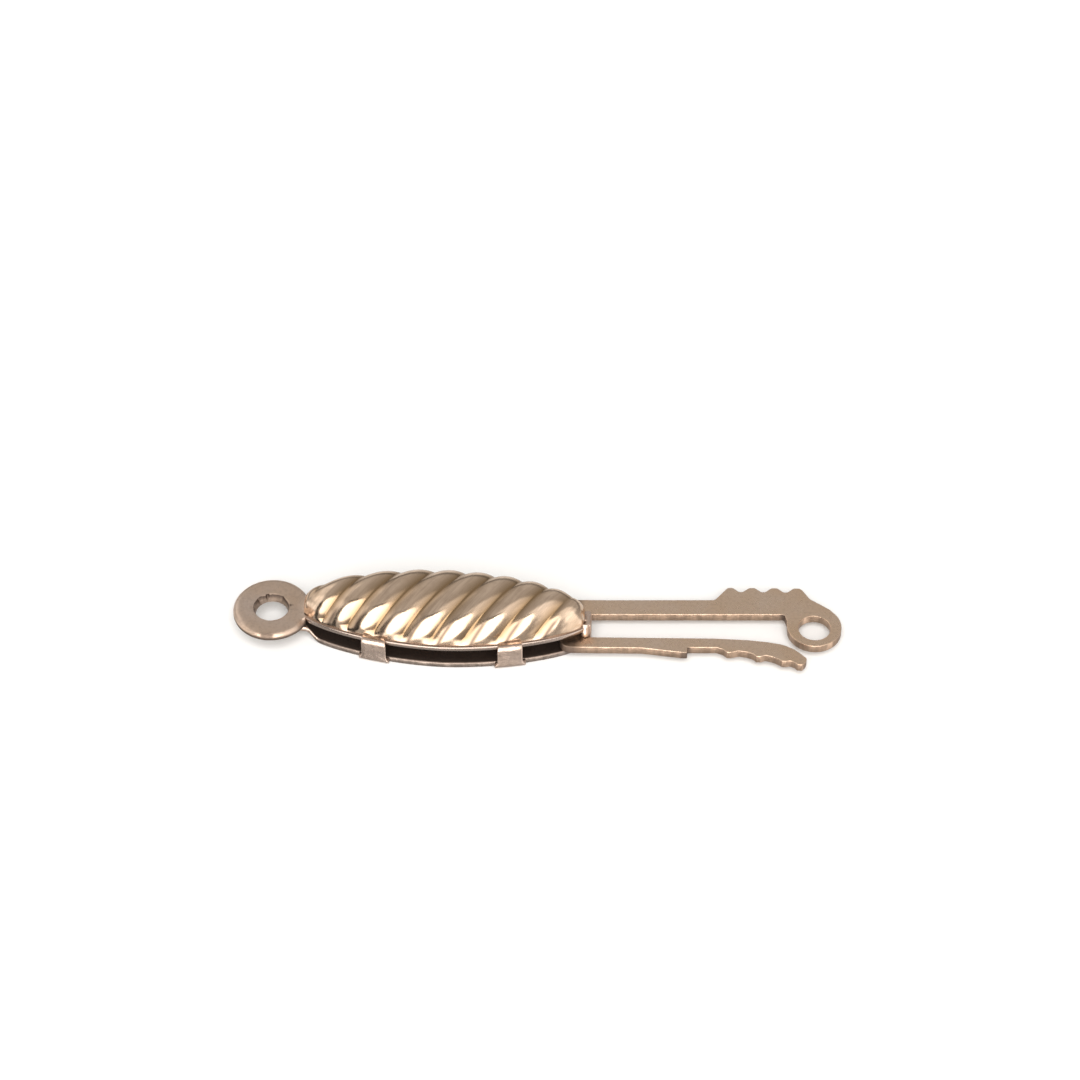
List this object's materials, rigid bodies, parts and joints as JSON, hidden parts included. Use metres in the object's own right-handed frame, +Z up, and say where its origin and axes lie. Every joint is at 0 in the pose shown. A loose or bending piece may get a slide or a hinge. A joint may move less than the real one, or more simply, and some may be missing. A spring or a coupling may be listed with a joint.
{
  "type": "fish hook clasp",
  "caption": "Fish hook necklace clasp: fluted marquise case with an end ring, and a hairpin hook tongue that slides in at its mouth.",
  "frame": {"origin": "centre of the back plate's underside", "axes": "+X along the case towards the hook tongue, +Z up through the fluted cover"},
  "size_m": [0.0295, 0.0054, 0.0036],
  "materials": {
    "plate_gold": "rolled gold sheet with softly worn edges",
    "cover_gold": "polished stamped gold",
    "ring_gold": "satin cast gold",
    "tongue_gold": "satin sheet gold with bright cut edges"
  },
  "bodies": {
    "case": {"back_plate": "plate_gold", "near_left_claw": "plate_gold", "near_right_claw": "plate_gold", "far_left_claw": "plate_gold", "far_right_claw": "plate_gold", "fluted_cover": "cover_gold", "end_ring": "ring_gold"},
    "tongue": {"hook_tongue": "tongue_gold"},
    "lever": {"spring_lever": "tongue_gold"}
  },
  "joints": [
    {"name": "tongue_slide", "type": "slide", "parent": "case", "child": "tongue", "axis": [-0.999, -0.0436, 0], "range_m": [0, 0.00918]},
    {"name": "lever_squeeze", "type": "hinge", "parent": "tongue", "child": "lever", "pos_m": [0.00692, -0.00093, 0.00061], "axis": [0, 0, 1], "range_deg": [-2.8, 2.2], "stiffness_Nm_per_rad": 0.01}
  ]
}
